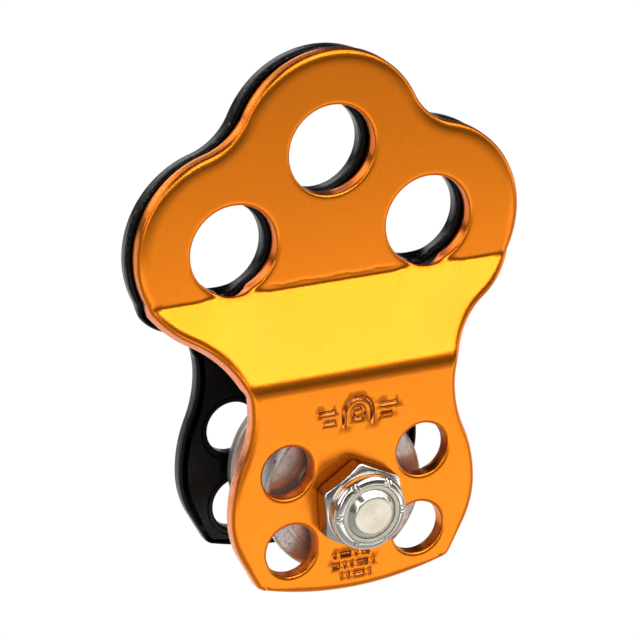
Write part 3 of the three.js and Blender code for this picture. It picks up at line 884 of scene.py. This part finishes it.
def tumbled_aluminium(looks):
    """Turned, tumbled and slightly dirty bare aluminium."""
    made = Finish("Tumbled aluminium", 0.8, 0.36)
    grain = made.group(grain_group(), Fineness=1300.0, Streak=1.0)
    lines = made.group(turning_group(), Axle_Height=AXLE.z, Fineness=2600.0)
    pits = made.group(pit_group(), Fineness=420.0, Size=0.2)
    colour = made.mix(made.ramp(grain["Cloud"], 0.3, 0.7), (*looks.aluminium, 1.0), linear(184, 174, 166))
    colour = made.mix(made.ramp(lines["Lines"], 0.5, 0.75, 0.0, 0.35), colour, linear(128, 112, 104))
    colour = made.mix(made.ramp(grain["Speckle"], 0.55, 0.75, 0.0, 0.4), colour, linear(110, 96, 90))
    colour = made.mix(made.ramp(pits["Pits"], 0.0, 1.0, 0.0, 0.8), colour, linear(60, 50, 46))
    height = made.maths("ADD", made.maths("MULTIPLY", lines["Lines"], 0.6), grain["Speckle"])
    height = made.maths("SUBTRACT", height, pits["Pits"])
    return made.finish(colour, made.ramp(grain["Speckle"], 0.3, 0.7, 0.3, 0.46), height, 0.35, 0.00005)


def bronze(looks):
    """Porous sintered bronze."""
    made = Finish("Sintered bronze", 1.0, 0.42)
    grain = made.group(grain_group(), Fineness=2400.0, Streak=1.0)
    pits = made.group(pit_group(), Fineness=1500.0, Size=0.22)
    colour = made.mix(made.ramp(grain["Cloud"], 0.3, 0.7), linear(176, 124, 70), linear(142, 94, 50))
    colour = made.mix(pits["Pits"], colour, linear(70, 44, 24))
    return made.finish(colour, made.ramp(grain["Speckle"], 0.3, 0.7, 0.34, 0.5), grain["Speckle"])


def stainless_steel(looks):
    """Bright machined steel, with a painted dark reflection on the hexagon flats and a paler faced end on the
    bolt that carries a painted sheen.
    """
    made = Finish("Stainless steel", 1.0, looks.steel_roughness)
    grain = made.group(grain_group(), Fineness=1600.0, Streak=1.0)
    lines = made.group(turning_group(), Axle_Height=AXLE.z, Fineness=4200.0)
    colour = made.mix(made.ramp(grain["Cloud"], 0.3, 0.7), linear(226, 222, 212), linear(206, 201, 190))
    colour = made.mix(made.ramp(lines["Lines"], 0.55, 0.8, 0.0, 0.2), colour, linear(170, 166, 156))
    end = -(OUTER_FACE_Y + BOLT_END_REACH) * MM
    faced = made.ramp(made.place()["Y"], end + 0.00012, end + 0.00004)
    rings = made.ramp(lines["Lines"], 0.35, 0.65)
    faced_colour = made.mix(rings, linear(228, 219, 198), linear(212, 202, 182))
    # Painted sheen: a pale fan across the bolt's faced end.
    faced_colour = made.mix(made.maths("MULTIPLY", lines["Fan"], 0.6), faced_colour, linear(240, 233, 215))
    # Painted reflection: the hexagon flats (wall 1) are coloured dull brown.
    colour = made.mix(made.wall(), colour, linear(116, 98, 86))
    colour = made.mix(faced, colour, faced_colour)
    roughness = made.ramp(lines["Lines"], 0.3, 0.7,
                          looks.steel_roughness - 0.03, looks.steel_roughness + 0.08)
    roughness = made.maths("MULTIPLY_ADD", faced, 0.16, roughness)
    height = made.maths("ADD", lines["Lines"], made.maths("MULTIPLY", grain["Speckle"], 0.3))
    return made.finish(colour, roughness, height, 0.12, 0.00001)


def nylon(looks):
    """Slightly translucent off-white nylon."""
    made = Finish("Nylon", 0.0, 0.4)
    made.shader.inputs["Subsurface Weight"].default_value = 0.25
    made.shader.inputs["Subsurface Radius"].default_value = (0.0008, 0.0008, 0.0006)
    grain = made.group(grain_group(), Fineness=900.0, Streak=1.0)
    colour = made.mix(made.ramp(grain["Speckle"], 0.35, 0.7), linear(222, 218, 202), linear(206, 203, 186))
    return made.finish(colour, None, grain["Speckle"], 0.2, 0.00005)


def material(maker):
    """The one material a maker stands for, made the first time it is asked for."""
    name = maker.__name__
    if name not in _materials:
        _materials[name] = maker(bpy.context.scene.pulley_looks)
    return _materials[name]


_materials = {}


# --- Stage -------------------------------------------------------------------------------------

def softbox(name, middle, facing, width, height, radiance):
    """A rectangular area light of a given brightness, turned to face a point."""
    lamp = bpy.data.lights.new(name, "AREA")
    lamp.shape = "RECTANGLE"
    lamp.size = width
    lamp.size_y = height
    lamp.energy = radiance * math.pi * width * height
    made = bpy.data.objects.new(name, lamp)
    made.location = middle
    made.rotation_euler = (Vector(facing) - Vector(middle)).to_track_quat("-Z", "Y").to_euler()
    made.visible_camera = False
    bpy.context.scene.collection.objects.link(made)
    return made


def floor_material(stage):
    """Pale floor that glows evenly behind the object and falls off towards the front."""
    made = bpy.data.materials.new("Studio floor")
    made.use_nodes = True
    tree = made.node_tree
    tree.nodes.clear()
    node, _ = node_tools(tree)
    place = node("ShaderNodeSeparateXYZ", {0: node("ShaderNodeTexCoord").outputs["Object"]})
    feeds = {"Value": place.outputs["Y"], "From Min": -0.15, "From Max": 0.2,
             "To Min": stage.front_floor, "To Max": 1.02}
    fade = node("ShaderNodeMapRange", feeds, interpolation_type="SMOOTHSTEP")
    glow = node("ShaderNodeEmission", {"Strength": fade.outputs[0]})
    node("ShaderNodeOutputMaterial", {"Surface": glow.outputs[0]})
    return made


def camera(stage):
    """Camera above and to the left of the nut side, looking down along the axle's slant."""
    lens = bpy.data.cameras.new("Camera")
    lens.sensor_width = 36.0
    lens.lens = stage.lens
    lens.clip_end = 20.0
    made = bpy.data.objects.new("Camera", lens)
    azimuth = stage.azimuth
    pitch = stage.pitch
    forward = Vector((math.sin(azimuth) * math.cos(pitch), math.cos(azimuth) * math.cos(pitch),
                      math.sin(pitch)))
    turned = forward.to_track_quat("-Z", "Y").to_matrix() @ Matrix.Rotation(stage.roll, 3, "Z")
    made.matrix_world = Matrix.Translation(Vector(stage.camera_place)) @ turned.to_4x4()
    bpy.context.scene.collection.objects.link(made)
    bpy.context.scene.camera = made


# --- Add-on ------------------------------------------------------------------------------------

class PulleyLooks(bpy.types.PropertyGroup):
    """Colours and finishes of the pulley's materials."""
    orange: FloatVectorProperty(
        name="Orange", description="Dye of the front plate", subtype="COLOR",
        default=linear(255, 140, 26)[:3])
    black: FloatVectorProperty(
        name="Black", description="Dye of the back plate", subtype="COLOR", default=linear(12, 12, 13)[:3])
    aluminium: FloatVectorProperty(
        name="Aluminium", description="Bare metal of the sheave", subtype="COLOR",
        default=linear(208, 202, 196)[:3])
    orange_roughness: FloatProperty(
        name="Orange roughness", description="How far the orange finish blurs reflections", default=0.28)
    steel_roughness: FloatProperty(
        name="Steel roughness", description="How far the nut and bolt blur reflections", default=0.16)


class PulleyStage(bpy.types.PropertyGroup):
    """Floor, lights and camera around the pulley."""
    floor_height: FloatProperty(
        name="Floor height", description="Height of the studio floor under the hung pulley",
        default=-0.33, unit="LENGTH")
    front_floor: FloatProperty(
        name="Front floor", description="Brightness of the floor in front of the pulley", default=0.4)
    lens: FloatProperty(
        name="Lens", description="Focal length", default=243.2, unit="CAMERA")
    azimuth: FloatProperty(
        name="Azimuth", description="Direction the camera looks in, from +Y towards +X",
        default=math.radians(25.38), subtype="ANGLE")
    pitch: FloatProperty(
        name="Pitch", description="How far the camera looks up", default=math.radians(-21.31),
        subtype="ANGLE")
    roll: FloatProperty(
        name="Roll", description="Turn of the camera about its own line of sight",
        default=math.radians(0.25), subtype="ANGLE")
    camera_place: FloatVectorProperty(
        name="Camera place", description="Where the camera stands", subtype="TRANSLATION",
        default=(-0.2958, -0.6218, 0.2370))


class PULLEY_OT_plates(bpy.types.Operator):
    """Build the orange front plate and the black back plate"""
    bl_idname = "pulley.plates"
    bl_label = "Side plates"

    def execute(self, context):
        marks = rope_mark(0.4, 16.3) + rating_bars(-0.3, -9.6)
        front = plate_mesh("orange_side_plate", marks, material(anodised_orange))
        front.data.transform(Matrix.Translation((0, -OUTER_FACE_Y * MM, AXLE.z)))
        finish_piece(front, "front_side", "front_plate")
        back = plate_mesh("black_side_plate", [], material(anodised_black))
        facing = Matrix.Rotation(math.pi, 4, "Z") @ Matrix.Translation((0, -OUTER_FACE_Y * MM, 0))
        swing = Matrix.Rotation(-REST_SWING, 4, "Y")
        back.data.transform(Matrix.Translation(AXLE) @ swing @ facing)
        finish_piece(back, "back_side", "back_plate")
        return {"FINISHED"}


class PULLEY_OT_sheave(bpy.types.Operator):
    """Build the grooved sheave and its bronze bush"""
    bl_idname = "pulley.sheave"
    bl_label = "Sheave and bush"

    def execute(self, context):
        half = SHEAVE_WIDTH / 2
        middle = GROOVE_ROOT_RADIUS + GROOVE_RADIUS
        mouth = math.acos((middle - SHEAVE_RADIUS + 0.1) / GROOVE_RADIUS)
        groove = [Vector((middle - GROOVE_RADIUS * math.cos(a), GROOVE_RADIUS * math.sin(a)))
                  for a in np.linspace(-mouth, mouth, 41)]
        bore = BUSH_OUTER_RADIUS + SEAT_GAP
        lip = groove[-1].y + 0.16
        side = softened([
            (bore, -half), (SHEAVE_RADIUS, -half), (SHEAVE_RADIUS, -lip), (bore + 1, 0),
            (SHEAVE_RADIUS, lip), (SHEAVE_RADIUS, half), (bore, half)], 0.55)
        low = [p for p in side if p.y < -lip - 0.3]
        high = [p for p in side if p.y > lip + 0.3]
        profile = low + [Vector((SHEAVE_RADIUS, -lip - 0.25)), Vector((SHEAVE_RADIUS - 0.02, -lip - 0.05))]
        profile += groove
        profile += [Vector((SHEAVE_RADIUS - 0.02, lip + 0.05)), Vector((SHEAVE_RADIUS, lip + 0.25))] + high
        sheave = turned_piece("grooved_sheave", profile, material(tumbled_aluminium), 216)
        finish_piece(sheave, "sheave_set", "sheave")
        bush = softened([(BUSH_INNER_RADIUS, -half), (BUSH_OUTER_RADIUS, -half),
                         (BUSH_OUTER_RADIUS, half), (BUSH_INNER_RADIUS, half)], 0.25)
        made = turned_piece("bronze_bush", bush, material(bronze))
        finish_piece(made, "sheave_set", "sheave_bush")
        return {"FINISHED"}


class PULLEY_OT_washers(bpy.types.Operator):
    """Build the thrust washers on both sides of the sheave"""
    bl_idname = "pulley.washers"
    bl_label = "Thrust washers"

    def execute(self, context):
        for name, side in (("front_thrust_washer", -1), ("back_thrust_washer", 1)):
            middle = side * (SHEAVE_WIDTH + SIDE_GAP) / 2
            low = middle - WASHER_THICKNESS / 2
            high = middle + WASHER_THICKNESS / 2
            profile = softened([(AXLE_HOLE_RADIUS, low), (WASHER_RADIUS, low),
                                (WASHER_RADIUS, high), (AXLE_HOLE_RADIUS, high)], 0.12)
            label = name.replace("thrust_", "")
            washer = turned_piece(label, profile, material(stainless_steel))
            finish_piece(washer, "axle_set", name)
        return {"FINISHED"}


class PULLEY_OT_bolt(bpy.types.Operator):
    """Build the axle bolt with its turned end and hexagonal head"""
    bl_idname = "pulley.bolt"
    bl_label = "Axle bolt"

    def execute(self, context):
        bolt = ringed_piece("hex_bolt", axle_bolt_rings(), material(stainless_steel), False)
        finish_piece(bolt, "axle_set", "axle_bolt")
        return {"FINISHED"}


class PULLEY_OT_nut(bpy.types.Operator):
    """Build the staked lock nut and its nylon insert"""
    bl_idname = "pulley.nut"
    bl_label = "Lock nut"

    def execute(self, context):
        nut = ringed_piece("staked_nut", lock_nut_rings(), material(stainless_steel), True)
        finish_piece(nut, "axle_set", "lock_nut")
        face = -(OUTER_FACE_Y + NUT_HEIGHT)
        bore = BOLT_RADIUS + 0.03
        ring = softened([
            (bore, face + 3.2), (bore, face + 0.66), (bore - 0.42, face + 0.16),
            (NUT_RIM_RADIUS - 0.45, face + 0.02), (NUT_RIM_RADIUS - 0.04, face + 0.12),
            (NUT_RIM_RADIUS - 0.04, face + 0.6), (NUT_COLLAR_RADIUS - 1.02, face + 0.62),
            (NUT_COLLAR_RADIUS - 1.02, face + 3.2)], 0.2)
        insert = turned_piece("nylon_ring", ring[::-1], material(nylon))
        finish_piece(insert, "axle_set", "nut_insert")
        return {"FINISHED"}


class PULLEY_OT_stage(bpy.types.Operator):
    """Set the floor, the lights and the camera"""
    bl_idname = "pulley.stage"
    bl_label = "Stage"

    def execute(self, context):
        stage = context.scene.pulley_stage
        mesh = bpy.data.meshes.new("floor")
        reach = 6.0
        corners = [(-reach, -reach, 0), (reach, -reach, 0), (reach, reach, 0), (-reach, reach, 0)]
        mesh.from_pydata(corners, [], [(0, 1, 2, 3)])
        mesh.materials.append(floor_material(stage))
        floor = bpy.data.objects.new("floor", mesh)
        floor.location.z = stage.floor_height
        context.scene.collection.objects.link(floor)
        middle = Vector((0, -0.005, -0.03))
        for name, direction, distance, width, height, radiance in (
            ("Top softbox", (0.30, -0.44, 0.85), 0.9, 1.1, 0.46, 2.15),
            ("Front strip", (0.28, -0.72, 0.64), 0.95, 1.8, 0.07, 9.0),
            ("Left strip", (-0.62, -0.72, 0.30), 0.95, 0.09, 0.6, 5.0),
            ("Left softbox", (-0.85, -0.05, 0.50), 0.9, 0.5, 0.6, 2.4),
            ("Right fill", (0.95, -0.20, 0.22), 0.9, 0.25, 0.8, 1.4),
            ("Back light", (-0.25, 0.85, 0.45), 1.0, 1.3, 0.45, 2.0),
        ):
            softbox(name, middle + Vector(direction).normalized() * distance, middle, width, height, radiance)
        softbox("Low front panel", (0.17, -0.4, -0.37), (0.17, 0.0, -0.34), 1.0, 0.34, 1.35)
        world = bpy.data.worlds.new("Studio")
        world.use_nodes = True
        world.node_tree.nodes["Background"].inputs["Color"].default_value = (0.08, 0.08, 0.082, 1)
        context.scene.world = world
        camera(stage)
        context.scene.view_settings.view_transform = "Standard"
        return {"FINISHED"}


class PULLEY_PT_panel(bpy.types.Panel):
    """Lists the pulley's pieces and settings"""
    bl_idname = "PULLEY_PT_panel"
    bl_label = "Rope pulley"
    bl_space_type = "VIEW_3D"
    bl_region_type = "UI"
    bl_category = "Pulley"

    def draw(self, context):
        for operator in OPERATORS:
            self.layout.operator(operator.bl_idname)
        for group in (context.scene.pulley_looks, context.scene.pulley_stage):
            for name in group.__annotations__:
                self.layout.prop(group, name)


OPERATORS = (
    PULLEY_OT_plates, PULLEY_OT_sheave, PULLEY_OT_washers, PULLEY_OT_bolt, PULLEY_OT_nut, PULLEY_OT_stage)
CLASSES = (PulleyLooks, PulleyStage, *OPERATORS, PULLEY_PT_panel)


def register():
    for item in CLASSES:
        bpy.utils.register_class(item)
    bpy.types.Scene.pulley_looks = PointerProperty(type=PulleyLooks)
    bpy.types.Scene.pulley_stage = PointerProperty(type=PulleyStage)


def unregister():
    del bpy.types.Scene.pulley_stage
    del bpy.types.Scene.pulley_looks
    for item in reversed(CLASSES):
        bpy.utils.unregister_class(item)


def main():
    register()
    bpy.ops.pulley.plates()
    bpy.ops.pulley.sheave()
    bpy.ops.pulley.washers()
    bpy.ops.pulley.bolt()
    bpy.ops.pulley.nut()
    bpy.ops.pulley.stage()


if __name__ == "__main__":
    main()
